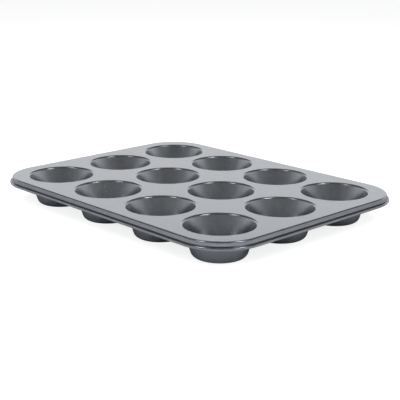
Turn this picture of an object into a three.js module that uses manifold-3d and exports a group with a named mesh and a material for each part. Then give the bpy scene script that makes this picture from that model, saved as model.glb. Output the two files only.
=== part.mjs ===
// A twelve-cup muffin tin: one coated steel pressing with a stepped border and a rolled edge.
// Millimetres, +Z up. The origin is on the surface that the tin stands on, under its middle.
// The pressing is divided where it is formed: the deck with its stepped border, the rolled edge,
// and the twelve drawn cups.
import * as THREE from 'three';
import { mergeVertices } from 'three/addons/utils/BufferGeometryUtils.js';
import Module from 'manifold-3d';

const wasm = await Module();
wasm.setup();

// Driving dimensions
const LENGTH = 345;             // over the rolled edge, along X
const WIDTH = 262;              // over the rolled edge, along Y
const HEIGHT = 30;              // from the cup bases to the top of the deck
const OUTER_CORNER_RADIUS = 45.5; // over the rolled edge
const SHEET = 0.6;              // thickness of the steel
const GAP = 0.3;                // clearance between neighbouring pieces

const COLUMNS = 4;              // cups along X
const ROWS = 3;                 // cups along Y
const CUP_PITCH = 80;
const MOUTH_RADIUS = 35;        // where the flat deck starts to turn down into a cup
const MOUTH_FILLET = 2.2;       // upper surface, at the mouth
const BASE_FILLET = 6.3;        // lower surface, between wall and base
const DRAFT = THREE.MathUtils.degToRad(17);         // slope of the cup walls from the vertical

const SHOULDER_RADIUS = 1.6;    // between the deck and the step
const STEP_DRAFT = THREE.MathUtils.degToRad(6);     // slope of the step from the vertical
const STEP_END_DROP = 3;        // from the top of the deck down to where the rolled edge takes over
const ROLL_RADIUS = 1.65;       // outside of the roll
const ROLL_BOTTOM_DROP = 7.9;   // from the top of the deck down to the lowest point of the roll
const ROLL_OFFSET = 0.4;        // how far the middle of the roll stands off the line of the step
const ROLL_END = -Math.PI;      // where the sheet stops, seen in section: level with the middle
const GROOVE_RADIUS = 0.7;      // hollow bend between the step and the roll

// Facets
const CUP_SIDES = 24;
const CORNER_STEPS = 6;
const MOUTH_STEPS = 2;
const BASE_STEPS = 3;
const SHOULDER_STEPS = 3;
const GROOVE_STEPS = 3;
const ROLL_TOP_STEPS = 4;       // from the groove out to the widest point
const ROLL_UNDER_STEPS = 6;     // from there round to where the sheet stops

// Worked out from those
const RIGHT_ANGLE = Math.PI / 2;
const cornerStep = RIGHT_ANGLE / CORNER_STEPS;
const cornerX = LENGTH / 2 - OUTER_CORNER_RADIUS;   // centres of the four corner bends
const cornerY = WIDTH / 2 - OUTER_CORNER_RADIUS;

const point = (x, y) => new THREE.Vector2(x, y);

// Sections of the border are points of (distance from the corner centres, height). `down` runs down
// the sloping step, and `out` points away from it.
const down = point(Math.sin(STEP_DRAFT), -Math.cos(STEP_DRAFT));
const out = point(Math.cos(STEP_DRAFT), Math.sin(STEP_DRAFT));
const rollCentre = point(OUTER_CORNER_RADIUS - ROLL_RADIUS, HEIGHT - ROLL_BOTTOM_DROP + ROLL_RADIUS);

// A point on the outer face of the step, at a height.
function stepFace(height) {
  const besideRoll = rollCentre.clone().addScaledVector(out, -ROLL_OFFSET);
  return besideRoll.addScaledVector(down, (height - besideRoll.y) / down.y);
}

// Points on an arc, both ends included.
function arc(centreX, centreY, radius, from, to, steps) {
  return Array.from({ length: steps + 1 }, (_, i) => {
    const angle = from + (to - from) * i / steps;
    return point(centreX + radius * Math.cos(angle), centreY + radius * Math.sin(angle));
  });
}

// A closed body's solid, ready for joining and cutting. Only positions are kept, and merged.
function toSolid(geometry) {
  const bare = geometry.clone();
  bare.deleteAttribute('normal');
  bare.deleteAttribute('uv');
  const merged = mergeVertices(bare, 1e-4);
  return new wasm.Manifold(new wasm.Mesh({
    numProp: 3,
    vertProperties: Float32Array.from(merged.attributes.position.array),
    triVerts: Uint32Array.from(merged.index.array),
  }));
}

function toGeometry(solid) {
  const mesh = solid.getMesh();
  const geometry = new THREE.BufferGeometry();
  geometry.setAttribute('position', new THREE.BufferAttribute(mesh.vertProperties, 3));
  geometry.setIndex(new THREE.BufferAttribute(mesh.triVerts, 1));
  geometry.computeVertexNormals();
  return geometry;
}

// Turns a profile of (radius, height) about +Z. A profile runs up the outside and down the inside.
function turned(profile, sides, phase = 0) {
  return new THREE.LatheGeometry(profile, sides, phase).rotateX(RIGHT_ANGLE);
}

// A section that follows the tin's rounded outline. The ring is turned once and its quarters are
// pulled apart to the four corners, so the long quads between them are the straight sides.
function rimRing(section) {
  const widen = 1 / Math.cos(cornerStep / 2);
  const closed = [...section, section[0]].map(({ x, y }) => point(x * widen, y));
  const ring = turned(closed, 4 * CORNER_STEPS, cornerStep / 2);
  const position = ring.attributes.position;
  for (let i = 0; i < position.count; i++) {
    position.setX(i, position.getX(i) + Math.sign(position.getX(i)) * cornerX);
    position.setY(i, position.getY(i) + Math.sign(position.getY(i)) * cornerY);
  }
  return ring;
}

// The tin's rounded outline at a distance from the corner centres.
function rimOutline(distance) {
  const radius = distance / Math.cos(cornerStep / 2);
  return Array.from({ length: 4 * CORNER_STEPS }, (_, i) => {
    const angle = (i + 0.5) * cornerStep;
    const x = radius * Math.cos(angle);
    const y = radius * Math.sin(angle);
    return point(x + Math.sign(x) * cornerX, y + Math.sign(y) * cornerY);
  });
}

// Every cup's row, column and centre.
function cupPlaces() {
  const places = [];
  for (let row = 0; row < ROWS; row++) {
    for (let column = 0; column < COLUMNS; column++) {
      const x = (column - (COLUMNS - 1) / 2) * CUP_PITCH;
      const y = (row - (ROWS - 1) / 2) * CUP_PITCH;
      places.push({ row: row + 1, column: column + 1, x, y });
    }
  }
  return places;
}

// One drawn cup: mouth fillet, sloping wall, base fillet and flat base, all of sheet thickness.
function cupGeometry() {
  const turn = RIGHT_ANGLE - DRAFT;
  const wallEnd = MOUTH_RADIUS - MOUTH_FILLET * Math.tan(turn / 2) + SHEET / Math.cos(DRAFT);
  const baseEnd = wallEnd - HEIGHT * Math.tan(DRAFT);         // where wall and base would meet, sharp
  const baseCentre = baseEnd - BASE_FILLET * Math.tan(turn / 2);
  const mouthZ = HEIGHT - MOUTH_FILLET;
  return turned([
    point(0, 0),
    ...arc(baseCentre, BASE_FILLET, BASE_FILLET, -RIGHT_ANGLE, -DRAFT, BASE_STEPS),
    ...arc(MOUTH_RADIUS, mouthZ, MOUTH_FILLET - SHEET, Math.PI - DRAFT, RIGHT_ANGLE, MOUTH_STEPS),
    ...arc(MOUTH_RADIUS, mouthZ, MOUTH_FILLET, RIGHT_ANGLE, Math.PI - DRAFT, MOUTH_STEPS),
    ...arc(baseCentre, BASE_FILLET, BASE_FILLET - SHEET, -DRAFT, -RIGHT_ANGLE, BASE_STEPS),
    point(0, SHEET),
  ], CUP_SIDES);
}

// The flat deck with its cup holes, joined to the shoulder and step that run round it.
function deckGeometry() {
  const outerEnd = stepFace(HEIGHT - STEP_END_DROP);
  const innerEnd = outerEnd.clone().addScaledVector(out, -SHEET);
  const shoulderZ = HEIGHT - SHOULDER_RADIUS;
  const shoulderX = (outerEnd.dot(out) - SHOULDER_RADIUS - shoulderZ * out.y) / out.x;
  const flatOverlap = shoulderX - 2 * SHOULDER_RADIUS;
  const border = toSolid(rimRing([
    point(flatOverlap, HEIGHT - SHEET),
    ...arc(shoulderX, shoulderZ, SHOULDER_RADIUS - SHEET, RIGHT_ANGLE, STEP_DRAFT, SHOULDER_STEPS),
    innerEnd,
    outerEnd,
    ...arc(shoulderX, shoulderZ, SHOULDER_RADIUS, STEP_DRAFT, RIGHT_ANGLE, SHOULDER_STEPS),
    point(flatOverlap, HEIGHT),
  ]));
  const plate = new THREE.Shape(rimOutline(shoulderX));
  for (const { x, y } of cupPlaces()) {
    const hole = arc(x, y, MOUTH_RADIUS + GAP, 0, 2 * Math.PI, CUP_SIDES).slice(1);
    plate.holes.push(new THREE.Path(hole));
  }
  const flat = new THREE.ExtrudeGeometry(plate, { depth: SHEET, bevelEnabled: false })
    .translate(0, 0, HEIGHT - SHEET);
  return toGeometry(toSolid(flat).add(border));
}

// The rest of the step and the edge of the sheet, which bends out through a narrow groove and is
// rolled over, down and under. The groove's bend touches the step and the roll.
function rolledEdgeGeometry() {
  const sideways = GROOVE_RADIUS - ROLL_OFFSET;
  const upwards = Math.sqrt((ROLL_RADIUS + GROOVE_RADIUS) ** 2 - sideways ** 2);
  const groove = rollCentre.clone().addScaledVector(out, sideways).addScaledVector(down, -upwards);
  const rollStart = groove.clone().sub(rollCentre).angle();
  const fromStep = Math.PI + STEP_DRAFT;
  const toRoll = Math.PI + rollStart;
  const rollArc = radius => [
    ...arc(rollCentre.x, rollCentre.y, radius, rollStart, 0, ROLL_TOP_STEPS),
    ...arc(rollCentre.x, rollCentre.y, radius, 0, ROLL_END, ROLL_UNDER_STEPS).slice(1),
  ];
  const outerStart = stepFace(HEIGHT - STEP_END_DROP).addScaledVector(down, GAP);
  const innerStart = outerStart.clone().addScaledVector(out, -SHEET);
  return rimRing([
    innerStart,
    ...arc(groove.x, groove.y, GROOVE_RADIUS + SHEET, fromStep, toRoll, GROOVE_STEPS).slice(0, -1),
    ...rollArc(ROLL_RADIUS - SHEET),
    ...rollArc(ROLL_RADIUS).reverse(),
    ...arc(groove.x, groove.y, GROOVE_RADIUS, toRoll, fromStep, GROOVE_STEPS).slice(1),
    outerStart,
  ]);
}

const tin = new THREE.Group();

function addPiece(name, geometry, x = 0, y = 0) {
  const coating = new THREE.MeshStandardMaterial({ color: 0xb0b1b7, roughness: 0.4, metalness: 0.7 });
  const piece = new THREE.Mesh(geometry, coating);
  piece.name = name;
  piece.position.set(x, y, 0);
  tin.add(piece);
}

addPiece('deck', deckGeometry());
addPiece('rolled_edge', rolledEdgeGeometry());
for (const { row, column, x, y } of cupPlaces()) {
  addPiece(`cup_row${row}_column${column}`, cupGeometry(), x, y);
}

export default tin;
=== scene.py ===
"""A twelve-cup muffin tin: one coated steel pressing with a stepped border and a rolled edge.

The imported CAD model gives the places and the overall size. Each of its nodes is replaced by a fine
smooth mesh of the same region, and neighbouring regions share their edge points, so that the pressing
shows no joint. Everything is in metres, +Z up."""
import math

import bmesh
import bpy
from mathutils import Matrix, Vector


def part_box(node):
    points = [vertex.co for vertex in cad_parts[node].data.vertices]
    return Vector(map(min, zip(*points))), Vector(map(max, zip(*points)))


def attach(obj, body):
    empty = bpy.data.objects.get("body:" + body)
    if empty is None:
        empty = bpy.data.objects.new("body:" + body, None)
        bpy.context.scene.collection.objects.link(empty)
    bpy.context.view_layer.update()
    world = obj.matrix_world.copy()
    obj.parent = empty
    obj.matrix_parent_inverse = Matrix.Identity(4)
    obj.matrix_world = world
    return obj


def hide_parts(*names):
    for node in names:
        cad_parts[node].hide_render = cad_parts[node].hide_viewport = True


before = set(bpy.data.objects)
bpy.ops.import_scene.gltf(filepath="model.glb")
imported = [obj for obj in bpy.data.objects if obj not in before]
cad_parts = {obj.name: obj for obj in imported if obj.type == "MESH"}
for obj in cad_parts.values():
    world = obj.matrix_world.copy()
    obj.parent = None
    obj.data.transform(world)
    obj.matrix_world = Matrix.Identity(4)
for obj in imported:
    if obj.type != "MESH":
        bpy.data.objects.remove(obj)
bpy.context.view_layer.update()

MM = 0.001

# Sheet and cups
SHEET = 0.6 * MM
MOUTH_FILLET = 2.2 * MM
BASE_FILLET = 6.3 * MM
DRAFT = math.radians(17)
LIP_BAND = 0.15 * MM            # flat ring that each cup keeps round its mouth
BASE_CROWN = 0.2 * MM           # how far the middle of a cup base springs up

# Border and rolled edge
OUTER_CORNER_RADIUS = 45.5 * MM
SHOULDER_RADIUS = 1.6 * MM      # between the deck and the step
STEP_DRAFT = math.radians(6)    # slope of the step from the vertical
STEP_END_DROP = 3 * MM          # from the deck's top down to where the rolled edge takes over
ROLL_RADIUS = 1.65 * MM         # outside of the roll
ROLL_OFFSET = 0.4 * MM          # how far the middle of the roll stands off the line of the step
ROLL_END = -math.pi             # where the sheet stops, seen in section: level with the middle
GROOVE_RADIUS = 0.7 * MM        # hollow bend between the step and the roll
EDGE_BAND = 0.4 * MM            # flat strip of the deck beside its shoulder

# Steps along the section of each bend
BASE_STEPS = 12
MOUTH_UNDER_STEPS, MOUTH_UPPER_STEPS = 8, 10
SHOULDER_STEPS = 12
GROOVE_STEPS = 8
ROLL_INSIDE_STEPS, ROLL_OUTSIDE_STEPS = 32, 40

# Fineness and tolerances
AROUND = 128                    # points round a cup, a multiple of 8
OCTANT = AROUND // 8
DECK_RINGS = (0, 0.1, 0.45, 1)  # from a cup's hole, 0, out to the edge of its cell, 1
BASE_RINGS = (0, 0.25, 0.5, 0.75, 0.9)      # from the middle of a cup base, 0, out to its bend, 1
SAME_POINT = 1e-6               # metres: closer points than this are joined
ON_OUTLINE = 1e-7               # metres: nearer the deck's outline than this is on it
OUTLINE_DIGITS = 7              # decimals of a metre that tell points of the outline apart
PLACE_DIGITS = 5                # decimals of a metre that tell rows and columns of cups apart
RIGHT_ANGLE = math.pi / 2
SHARP_ANGLE = math.radians(50)  # the sheet's cut edges turn by more than this, and its bends by less

# Coating. Noise scales are features in a metre.
COATING_DARK = (0.25, 0.264, 0.285)
COATING_MAIN = (0.362, 0.382, 0.412)
COATING_LIGHT = (0.49, 0.515, 0.555)
METALLIC = 0.96
SPECULAR_LEVEL = 0.5
NOISE_SPAN = (0.3, 0.7)         # nearly all of a noise texture's values
FLECK_SCALE, FLECK_DETAIL = 1400, 2
FLECK_TONE = (0.15, 0.65)       # places on the ramp from the dark to the light colour
FLECK_ROUGHNESS = (-0.02, 0.02)
MOTTLE_SCALE, MOTTLE_DETAIL = 70, 3
MOTTLE_TONE = (0.0, 0.2)
MOTTLE_ROUGHNESS = (0.23, 0.25)
PEEL_SCALE, PEEL_DETAIL = 900, 3
PEEL_DEPTH, PEEL_STRENGTH = 0.02 * MM, 0.5
DRAWN_SCALE, DRAWN_DETAIL = 160, 2
DRAWN_STRETCH = (1, 1, 0.04)    # long up and down the cup walls
DRAWN_STREAKS = 0.06
GROOVE_SHADE = 0.45             # brightness left in the groove: painted shade that darkens the coating's colour there
GROOVE_REACH = 1 * MM           # height over which that shade fades, up and down

# Studio surroundings: brightness from straight down, 0, over the horizon, 0.5, to straight up, 1, on the
# camera's side and behind the tin
FRONT_SWEEP = [
    (0.0, 0.2), (0.5, 0.22), (0.6, 0.27), (0.66, 0.18),
    (0.72, 0.05), (0.8, 0.02), (0.975, 0.02), (0.99, 0.15),
]
BACK_SWEEP = [
    (0.0, 0.2), (0.5, 0.50), (0.57, 0.56), (0.62, 0.69),
    (0.665, 0.86), (0.69, 0.35), (0.72, 0.05), (0.99, 0.15),
]
SWEEP_TURN = (-0.7, 1.2)        # Y minus X of a direction, from all front to all back
SWEEP_STRENGTH = 1.6
LIGHT_AIM = Vector((0, 0, 20 * MM))

# Floor
FLOOR_COLOUR = (0.49, 0.50, 0.515)
FLOOR_ROUGHNESS = 0.9
FLOOR_SPECULAR_LEVEL = 0.1
FLOOR_RADIUS, FLOOR_SIDES = 20, 64          # metres
FLOOR_DROP = 0.2 * MM           # below the cup bases
FLOOR_LIFT = 0.82               # keeps the floor near white, with only a light shadow
CONTACT_REACH = 1.2 * MM        # the floor is clear this close, so the cup bases show from below

# Camera. Azimuth 0 looks along +Y, and 90 looks along -X.
CAMERA_AZIMUTH = math.radians(46.71)
CAMERA_ELEVATION = math.radians(15.95)
CAMERA_ROLL = math.radians(0.13)
CAMERA_DISTANCE = 1.0097        # metres, from the middle of the deck
CAMERA_ASIDE = -0.0065          # metres that the deck's middle stands right of the picture's middle
CAMERA_ABOVE = 0.0180           # metres that it stands above it
CAMERA_LENS, CAMERA_SENSOR = 88.25, 36      # millimetres
CAMERA_CLIP = (0.05, 60)

# Places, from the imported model
deck_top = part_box("deck")[1].z
edge_low, edge_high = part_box("rolled_edge")
corner_x = edge_high.x - OUTER_CORNER_RADIUS
corner_y = edge_high.y - OUTER_CORNER_RADIUS
cups = sorted(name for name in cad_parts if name.startswith("cup_"))


def cup_centre(name):
    low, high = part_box(name)
    return (low + high) / 2


mouth_radius = (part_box(cups[0])[1].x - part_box(cups[0])[0].x) / 2
split_radius = mouth_radius + LIP_BAND
columns = sorted({round(cup_centre(name).x, PLACE_DIGITS) for name in cups})
rows = sorted({round(cup_centre(name).y, PLACE_DIGITS) for name in cups})
half_pitch = (columns[1] - columns[0]) / 2

# Sections are points of (distance, height), from a cup's axis or from the corner centres of the tin.
# `down` runs down the sloping step, and `out` points away from it.
down = Vector((math.sin(STEP_DRAFT), -math.cos(STEP_DRAFT)))
out = Vector((math.cos(STEP_DRAFT), math.sin(STEP_DRAFT)))
roll_centre = Vector((OUTER_CORNER_RADIUS - ROLL_RADIUS, edge_low.z + ROLL_RADIUS))


# Sections -------------------------------------------------------------------------------------

def arc(centre, radius, start, end, steps):
    """Points on an arc, both ends included."""
    points = []
    for i in range(steps + 1):
        angle = start + (end - start) * i / steps
        points.append((centre[0] + radius * math.cos(angle), centre[1] + radius * math.sin(angle)))
    return points


def cup_section():
    """(radius, height) up the underside of a cup and down its upper side, from axis to axis."""
    turn = RIGHT_ANGLE - DRAFT
    wall_end = mouth_radius - MOUTH_FILLET * math.tan(turn / 2) + SHEET / math.cos(DRAFT)
    base_end = wall_end - deck_top * math.tan(DRAFT)
    base_centre = (base_end - BASE_FILLET * math.tan(turn / 2), BASE_FILLET)
    mouth_centre = (mouth_radius, deck_top - MOUTH_FILLET)
    under = arc(base_centre, BASE_FILLET, -RIGHT_ANGLE, -DRAFT, BASE_STEPS)
    under += arc(mouth_centre, MOUTH_FILLET - SHEET, math.pi - DRAFT, RIGHT_ANGLE, MOUTH_UNDER_STEPS)
    upper = arc(mouth_centre, MOUTH_FILLET, RIGHT_ANGLE, math.pi - DRAFT, MOUTH_UPPER_STEPS)
    upper += arc(base_centre, BASE_FILLET - SHEET, -DRAFT, -RIGHT_ANGLE, BASE_STEPS)
    flat = base_centre[0]
    base = [(flat * share, BASE_CROWN * (1 - share * share) ** 2) for share in BASE_RINGS]
    floor = [(radius, SHEET + z) for radius, z in reversed(base)]
    lip = [(split_radius, deck_top - SHEET), (split_radius, deck_top)]
    return base + under + lip + upper + floor


def step_end():
    """Where the deck's share of the step ends and the rolled edge takes over, on the outer face."""
    beside_roll = roll_centre - out * ROLL_OFFSET
    return beside_roll + down * (deck_top - STEP_END_DROP - beside_roll.y) / down.y


def shoulder_centre():
    z = deck_top - SHOULDER_RADIUS
    return (step_end().dot(out) - SHOULDER_RADIUS - z * out.y) / out.x, z


flat_distance = shoulder_centre()[0] - EDGE_BAND


def border_section():
    """From the flat deck over the shoulder and down the step, and the same on the underside."""
    centre = shoulder_centre()
    upper = [(flat_distance, deck_top)]
    upper += arc(centre, SHOULDER_RADIUS, RIGHT_ANGLE, STEP_DRAFT, SHOULDER_STEPS)
    under = arc(centre, SHOULDER_RADIUS - SHEET, STEP_DRAFT, RIGHT_ANGLE, SHOULDER_STEPS)
    under += [(flat_distance, deck_top - SHEET)]
    return upper + [step_end()], [step_end() - out * SHEET] + under


def roll_section():
    """The rest of the step, the groove and the roll: down the inside of the sheet and back outside."""
    sideways = GROOVE_RADIUS - ROLL_OFFSET
    upwards = math.sqrt((ROLL_RADIUS + GROOVE_RADIUS) ** 2 - sideways ** 2)
    groove = roll_centre + out * sideways - down * upwards
    roll_start = math.atan2(groove.y - roll_centre.y, groove.x - roll_centre.x)
    from_step, to_roll = math.pi + STEP_DRAFT, math.pi + roll_start
    inside = [step_end() - out * SHEET]
    inside += arc(groove, GROOVE_RADIUS + SHEET, from_step, to_roll, GROOVE_STEPS)
    inside += arc(roll_centre, ROLL_RADIUS - SHEET, roll_start, ROLL_END, ROLL_INSIDE_STEPS)[1:]
    outside = arc(roll_centre, ROLL_RADIUS, ROLL_END, roll_start, ROLL_OUTSIDE_STEPS)
    outside += arc(groove, GROOVE_RADIUS, to_roll, from_step, GROOVE_STEPS)[1:]
    return inside + outside + [step_end()]


# Outline --------------------------------------------------------------------------------------

def circle(x, y, radius):
    steps = (2 * math.pi * i / AROUND for i in range(AROUND))
    return [(x + radius * math.cos(a), y + radius * math.sin(a)) for a in steps]


def quadrant_edge(side, top, rounding):
    """The edge of a quarter of a cup's cell, from its +X axis to its +Y axis, seen from the cup.
    side and top are its half sizes, and rounding is the centre of the tin's corner bend or None."""
    points = []
    for i in range(2 * OCTANT):
        if rounding is None:
            if i <= OCTANT:
                points.append((side, top * i / OCTANT))
            else:
                points.append((side * (2 * OCTANT - i) / OCTANT, top))
            continue
        angle = RIGHT_ANGLE * i / (2 * OCTANT)
        ray = Vector((math.cos(angle), math.sin(angle)))
        at_side = ray * (side / ray.x)
        if at_side.y <= rounding[1]:
            points.append(tuple(at_side))
            continue
        at_top = ray * (top / ray.y)
        if at_top.x <= rounding[0]:
            points.append(tuple(at_top))
            continue
        bend = Vector(rounding)
        nearest = ray.dot(bend)
        reach = nearest + math.sqrt(nearest ** 2 - bend.length_squared + flat_distance ** 2)
        points.append(tuple(ray * reach))
    return points


def cell_edge(x, y):
    """The edge of the flat deck's share round one cup, anticlockwise from its +X axis."""
    points = []
    for sign_x, sign_y in ((1, 1), (-1, 1), (-1, -1), (1, -1)):
        last_column = x == (columns[-1] if sign_x > 0 else columns[0])
        last_row = y == (rows[-1] if sign_y > 0 else rows[0])
        side = corner_x + flat_distance - abs(x) if last_column else half_pitch
        top = corner_y + flat_distance - abs(y) if last_row else half_pitch
        rounding = (corner_x - abs(x), corner_y - abs(y)) if last_column and last_row else None
        quarter = quadrant_edge(side, top, rounding)
        if sign_x * sign_y < 0:     # mirrored, so it runs the other way, from +Y to +X
            quarter = quarter[1:] + [(0.0, top)]
            quarter.reverse()
        points += [(x + sign_x * px, y + sign_y * py) for px, py in quarter]
    return points


def outline_stations():
    """The cells' points on the flat deck's outline, in order, each with its outward direction."""
    stations = {}
    for x in columns:
        for y in rows:
            for px, py in cell_edge(x, y):
                beyond_x = abs(px) - corner_x
                beyond_y = abs(py) - corner_y
                if beyond_x > 0 and beyond_y > 0:
                    away = Vector((beyond_x, beyond_y))
                elif beyond_x > beyond_y:
                    away = Vector((beyond_x, 0))
                else:
                    away = Vector((0, beyond_y))
                if abs(away.length - flat_distance) > ON_OUTLINE:
                    continue
                away.normalize()
                away.x = math.copysign(away.x, px)
                away.y = math.copysign(away.y, py)
                place = (round(px, OUTLINE_DIGITS), round(py, OUTLINE_DIGITS))
                stations[place] = (Vector((px, py)), away)
    return sorted(stations.values(), key=lambda station: math.atan2(station[0].y, station[0].x))


# Meshes ---------------------------------------------------------------------------------------

def add_band(mesh, lower, upper):
    """Quads between two closed rows of points."""
    first = [mesh.verts.new(p) for p in lower]
    second = [mesh.verts.new(p) for p in upper]
    for i in range(len(first)):
        j = (i + 1) % len(first)
        mesh.faces.new((first[i], first[j], second[j], second[i]))


def add_rows(mesh, rings, closed=False):
    """Bands between neighbouring rings, and from the last back to the first where the section closes."""
    for i in range(len(rings) - (0 if closed else 1)):
        add_band(mesh, rings[i], rings[(i + 1) % len(rings)])


def between(inner, outer, share, z):
    """The ring at height z that is this share of the way from one ring of points to another."""
    return [(a + (c - a) * share, b + (d - b) * share, z) for (a, b), (c, d) in zip(inner, outer)]


def make_piece(name, mesh, material, node):
    """Closes up a bmesh, shades it smooth but for the sheet's cut edges, and sets it in the frame."""
    bmesh.ops.remove_doubles(mesh, verts=mesh.verts, dist=SAME_POINT)
    bmesh.ops.recalc_face_normals(mesh, faces=mesh.faces)
    data = bpy.data.meshes.new(name)
    mesh.to_mesh(data)
    mesh.free()
    data.polygons.foreach_set("use_smooth", [True] * len(data.polygons))
    data.set_sharp_from_angle(angle=SHARP_ANGLE)
    data.materials.append(material)
    piece = bpy.data.objects.new(name, data)
    bpy.context.scene.collection.objects.link(piece)
    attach(piece, "root")
    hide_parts(node)


def swept(stations, section):
    """The rings that a section of (distance, height) points draws along the outline."""
    rings = []
    for distance, z in section:
        offset = distance - flat_distance
        rings.append([(p.x + away.x * offset, p.y + away.y * offset, z) for p, away in stations])
    return rings


def build_deck(material):
    mesh = bmesh.new()
    upper, under = border_section()
    for z in (deck_top, deck_top - SHEET):
        for x in columns:
            for y in rows:
                hole = circle(x, y, split_radius)
                edge = cell_edge(x, y)
                add_rows(mesh, [between(hole, edge, share, z) for share in DECK_RINGS])
    for x in columns:
        for y in rows:
            hole = circle(x, y, split_radius)
            add_band(mesh, [(*p, deck_top) for p in hole], [(*p, deck_top - SHEET) for p in hole])
    add_rows(mesh, swept(outline_stations(), upper + under))
    make_piece("deck_pressing", mesh, material, "deck")


def build_cup(node, material):
    mesh = bmesh.new()
    centre = cup_centre(node)
    rings = [[(*p, z) for p in circle(centre.x, centre.y, radius)] for radius, z in cup_section()]
    add_rows(mesh, rings)
    make_piece(node.replace("cup_", "drawn_cup_"), mesh, material, node)


def build_rolled_edge(material):
    mesh = bmesh.new()
    add_rows(mesh, swept(outline_stations(), roll_section()), closed=True)
    make_piece("rolled_rim", mesh, material, "rolled_edge")


# Materials ------------------------------------------------------------------------------------

def new_material(name):
    material = bpy.data.materials.new(name)
    material.use_nodes = True
    return material, material.node_tree, material.node_tree.nodes["Principled BSDF"]


def noise(tree, scale, detail, stretch=(1, 1, 1)):
    """A noise texture's value in the tin's own axes. A small number in stretch makes long streaks."""
    coordinates = tree.nodes.new("ShaderNodeTexCoord")
    mapping = tree.nodes.new("ShaderNodeMapping")
    mapping.inputs["Scale"].default_value = stretch
    texture = tree.nodes.new("ShaderNodeTexNoise")
    texture.inputs["Scale"].default_value = scale
    texture.inputs["Detail"].default_value = detail
    tree.links.new(coordinates.outputs["Object"], mapping.inputs["Vector"])
    tree.links.new(mapping.outputs["Vector"], texture.inputs["Vector"])
    return texture.outputs["Fac"]


def remap(tree, value, low, high, to_low, to_high):
    node = tree.nodes.new("ShaderNodeMapRange")
    node.inputs["From Min"].default_value = low
    node.inputs["From Max"].default_value = high
    node.inputs["To Min"].default_value = to_low
    node.inputs["To Max"].default_value = to_high
    tree.links.new(value, node.inputs["Value"])
    return node.outputs["Result"]


def spread(tree, texture, low, high):
    """A noise texture's value, spread from low to high."""
    return remap(tree, texture, *NOISE_SPAN, low, high)


def combine(tree, operation, a, b):
    node = tree.nodes.new("ShaderNodeMath")
    node.operation = operation
    for socket, value in zip(node.inputs, (a, b)):
        if isinstance(value, (int, float)):
            socket.default_value = value
        else:
            tree.links.new(value, socket)
    return node.outputs["Value"]


def ramp(tree, value, stops):
    node = tree.nodes.new("ShaderNodeValToRGB")
    elements = node.color_ramp.elements
    while len(elements) < len(stops):
        elements.new(0.5)
    for element, (position, colour) in zip(elements, stops):
        element.position = position
        element.color = (*colour, 1)
    tree.links.new(value, node.inputs["Fac"])
    return node.outputs["Color"]


def grey_ramp(tree, value, stops):
    return ramp(tree, value, [(position, (level,) * 3) for position, level in stops])


def bump(tree, height, distance, strength):
    node = tree.nodes.new("ShaderNodeBump")
    node.inputs["Distance"].default_value = distance
    node.inputs["Strength"].default_value = strength
    tree.links.new(height, node.inputs["Height"])
    return node.outputs["Normal"]


def groove_height():
    """The middle of the groove's bend: level with the top of the roll and a little above."""
    return roll_centre.y + ROLL_RADIUS + GROOVE_RADIUS / 4


def coating_material(name, streaks=0, groove_painted_shade=False):
    """Satin grey non-stick coating: metallic fleck, faint mottling, orange peel, the long fine streaks
    that drawing leaves in a cup wall, and painted shade: a dark line in the colour along the groove of
    the rim."""
    material, tree, shader = new_material(name)
    fleck = noise(tree, FLECK_SCALE, FLECK_DETAIL)
    mottle = noise(tree, MOTTLE_SCALE, MOTTLE_DETAIL)
    tone = combine(tree, "ADD", spread(tree, fleck, *FLECK_TONE), spread(tree, mottle, *MOTTLE_TONE))
    if streaks:
        drawn = noise(tree, DRAWN_SCALE, DRAWN_DETAIL, DRAWN_STRETCH)
        tone = combine(tree, "ADD", tone, spread(tree, drawn, -streaks, streaks))
    colour = ramp(tree, tone, [(0.0, COATING_DARK), (0.5, COATING_MAIN), (1.0, COATING_LIGHT)])
    # painted shade: the base colour is darkened along the rim's groove, standing in for the shade in
    # that crease
    if groove_painted_shade:
        place = tree.nodes.new("ShaderNodeSeparateXYZ")
        tree.links.new(tree.nodes.new("ShaderNodeTexCoord").outputs["Object"], place.inputs["Vector"])
        middle = groove_height()
        across = remap(tree, place.outputs["Z"], middle - GROOVE_REACH, middle + GROOVE_REACH, 0, 1)
        shade = [(0.2, 1), (0.4, GROOVE_SHADE), (0.6, GROOVE_SHADE), (0.8, 1)]
        darken = tree.nodes.new("ShaderNodeMixRGB")
        darken.blend_type = "MULTIPLY"
        darken.inputs["Fac"].default_value = 1
        tree.links.new(colour, darken.inputs["Color1"])
        tree.links.new(grey_ramp(tree, across, shade), darken.inputs["Color2"])
        colour = darken.outputs["Color"]
    tree.links.new(colour, shader.inputs["Base Color"])
    mottled = spread(tree, mottle, *MOTTLE_ROUGHNESS)
    flecked = spread(tree, fleck, *FLECK_ROUGHNESS)
    tree.links.new(combine(tree, "ADD", mottled, flecked), shader.inputs["Roughness"])
    shader.inputs["Metallic"].default_value = METALLIC
    shader.inputs["Specular IOR Level"].default_value = SPECULAR_LEVEL
    peel = noise(tree, PEEL_SCALE, PEEL_DETAIL)
    tree.links.new(bump(tree, peel, PEEL_DEPTH, PEEL_STRENGTH), shader.inputs["Normal"])
    return material


# Stage ----------------------------------------------------------------------------------------

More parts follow.
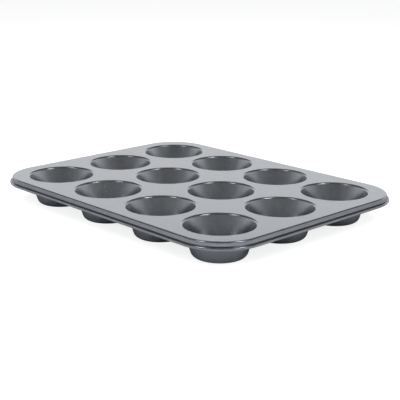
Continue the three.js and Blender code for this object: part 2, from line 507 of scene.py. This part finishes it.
def build_floor():
    """A wide pale floor, clear from below and close to the cup bases, so that the underside shows."""
    material, tree, shader = new_material("floor")
    shader.inputs["Base Color"].default_value = (*FLOOR_COLOUR, 1)
    shader.inputs["Roughness"].default_value = FLOOR_ROUGHNESS
    shader.inputs["Specular IOR Level"].default_value = FLOOR_SPECULAR_LEVEL
    ray = tree.nodes.new("ShaderNodeLightPath")
    lift = combine(tree, "MULTIPLY", ray.outputs["Is Camera Ray"], FLOOR_LIFT)
    tree.links.new(lift, shader.inputs["Emission Strength"])
    shader.inputs["Emission Color"].default_value = (1, 1, 1, 1)
    clear = tree.nodes.new("ShaderNodeBsdfTransparent")
    side = tree.nodes.new("ShaderNodeNewGeometry")
    touching = combine(tree, "LESS_THAN", ray.outputs["Ray Length"], CONTACT_REACH)
    mix = tree.nodes.new("ShaderNodeMixShader")
    tree.links.new(combine(tree, "MAXIMUM", side.outputs["Backfacing"], touching), mix.inputs["Fac"])
    tree.links.new(shader.outputs["BSDF"], mix.inputs[1])
    tree.links.new(clear.outputs["BSDF"], mix.inputs[2])
    tree.links.new(mix.outputs["Shader"], tree.nodes["Material Output"].inputs["Surface"])
    mesh = bmesh.new()
    bmesh.ops.create_circle(mesh, cap_ends=True, radius=FLOOR_RADIUS, segments=FLOOR_SIDES)
    bmesh.ops.translate(mesh, verts=mesh.verts, vec=(0, 0, -FLOOR_DROP))
    data = bpy.data.meshes.new("floor")
    mesh.to_mesh(data)
    mesh.free()
    data.materials.append(material)
    floor = bpy.data.objects.new("floor", data)
    bpy.context.scene.collection.objects.link(floor)


def from_tin(azimuth, elevation):
    """The direction from the tin to something at that azimuth and elevation."""
    return Vector((
        math.sin(azimuth) * math.cos(elevation),
        -math.cos(azimuth) * math.cos(elevation),
        math.sin(elevation),
    ))


def area_light(name, azimuth, elevation, distance, size, power, reflected=True):
    """A soft panel that looks at the tin from that azimuth and elevation in degrees, as the camera does.
    Where it isn't reflected, it lights the floor but leaves no highlight on the coating."""
    light = bpy.data.lights.new(name, "AREA")
    light.shape = "RECTANGLE"
    light.size, light.size_y = size
    light.energy = power
    panel = bpy.data.objects.new(name, light)
    back = from_tin(math.radians(azimuth), math.radians(elevation))
    panel.location = LIGHT_AIM + back * distance
    panel.rotation_euler = back.to_track_quat("Z", "Y").to_euler()
    panel.visible_glossy = reflected
    bpy.context.scene.collection.objects.link(panel)


def build_world():
    """Studio surroundings: a bright sweep behind the tin, dimmer towards the camera, a dark ceiling,
    and a white background where the camera sees past the floor."""
    world = bpy.data.worlds.new("studio")
    world.use_nodes = True
    bpy.context.scene.world = world
    tree = world.node_tree
    coordinates = tree.nodes.new("ShaderNodeTexCoord")
    split = tree.nodes.new("ShaderNodeSeparateXYZ")
    tree.links.new(coordinates.outputs["Generated"], split.inputs["Vector"])
    height = remap(tree, split.outputs["Z"], -1, 1, 0, 1)
    front = grey_ramp(tree, height, FRONT_SWEEP)
    back = grey_ramp(tree, height, BACK_SWEEP)
    behind = combine(tree, "SUBTRACT", split.outputs["Y"], split.outputs["X"])
    mix = tree.nodes.new("ShaderNodeMixRGB")
    tree.links.new(remap(tree, behind, *SWEEP_TURN, 0, 1), mix.inputs["Fac"])
    tree.links.new(front, mix.inputs["Color1"])
    tree.links.new(back, mix.inputs["Color2"])
    background = tree.nodes["Background"]
    tree.links.new(mix.outputs["Color"], background.inputs["Color"])
    background.inputs["Strength"].default_value = SWEEP_STRENGTH
    white = tree.nodes.new("ShaderNodeBackground")
    ray = tree.nodes.new("ShaderNodeLightPath")
    choose = tree.nodes.new("ShaderNodeMixShader")
    tree.links.new(ray.outputs["Is Camera Ray"], choose.inputs["Fac"])
    tree.links.new(background.outputs["Background"], choose.inputs[1])
    tree.links.new(white.outputs["Background"], choose.inputs[2])
    white.inputs["Color"].default_value = (1, 1, 1, 1)
    tree.links.new(choose.outputs["Shader"], tree.nodes["World Output"].inputs["Surface"])


def build_camera():
    back = from_tin(CAMERA_AZIMUTH, CAMERA_ELEVATION)
    right = Vector((math.cos(CAMERA_AZIMUTH), math.sin(CAMERA_AZIMUTH), 0))
    up = back.cross(right)
    right_rolled = right * math.cos(CAMERA_ROLL) + up * math.sin(CAMERA_ROLL)
    up_rolled = up * math.cos(CAMERA_ROLL) - right * math.sin(CAMERA_ROLL)
    data = bpy.data.cameras.new("camera")
    data.sensor_width = CAMERA_SENSOR
    data.lens = CAMERA_LENS
    data.clip_start, data.clip_end = CAMERA_CLIP
    camera = bpy.data.objects.new("camera", data)
    place = Vector((0, 0, deck_top)) + back * CAMERA_DISTANCE
    place -= right_rolled * CAMERA_ASIDE + up_rolled * CAMERA_ABOVE
    turn = Matrix((right_rolled, up_rolled, back)).transposed().to_4x4()
    camera.matrix_world = Matrix.Translation(place) @ turn
    bpy.context.scene.collection.objects.link(camera)
    bpy.context.scene.camera = camera


build_camera()
deck_coating = coating_material("nonstick_coating")
cup_coating = coating_material("nonstick_coating_drawn", streaks=DRAWN_STREAKS)
rim_coating = coating_material("nonstick_coating_rim", groove_painted_shade=True)
build_deck(deck_coating)
for cup in cups:
    build_cup(cup, cup_coating)
build_rolled_edge(rim_coating)
build_floor()
build_world()
area_light("left", azimuth=-5, elevation=48, distance=1.5, size=(0.35, 0.5), power=2.2)
area_light("right", azimuth=99, elevation=48, distance=1.5, size=(0.35, 0.5), power=3)
area_light("overhead", azimuth=0, elevation=90, distance=1.6, size=(1.5, 1.5), power=11, reflected=False)
area_light("fill", azimuth=46, elevation=34, distance=1.6, size=(1.2, 0.6), power=19, reflected=False)
bpy.context.scene.view_settings.view_transform = "Standard"
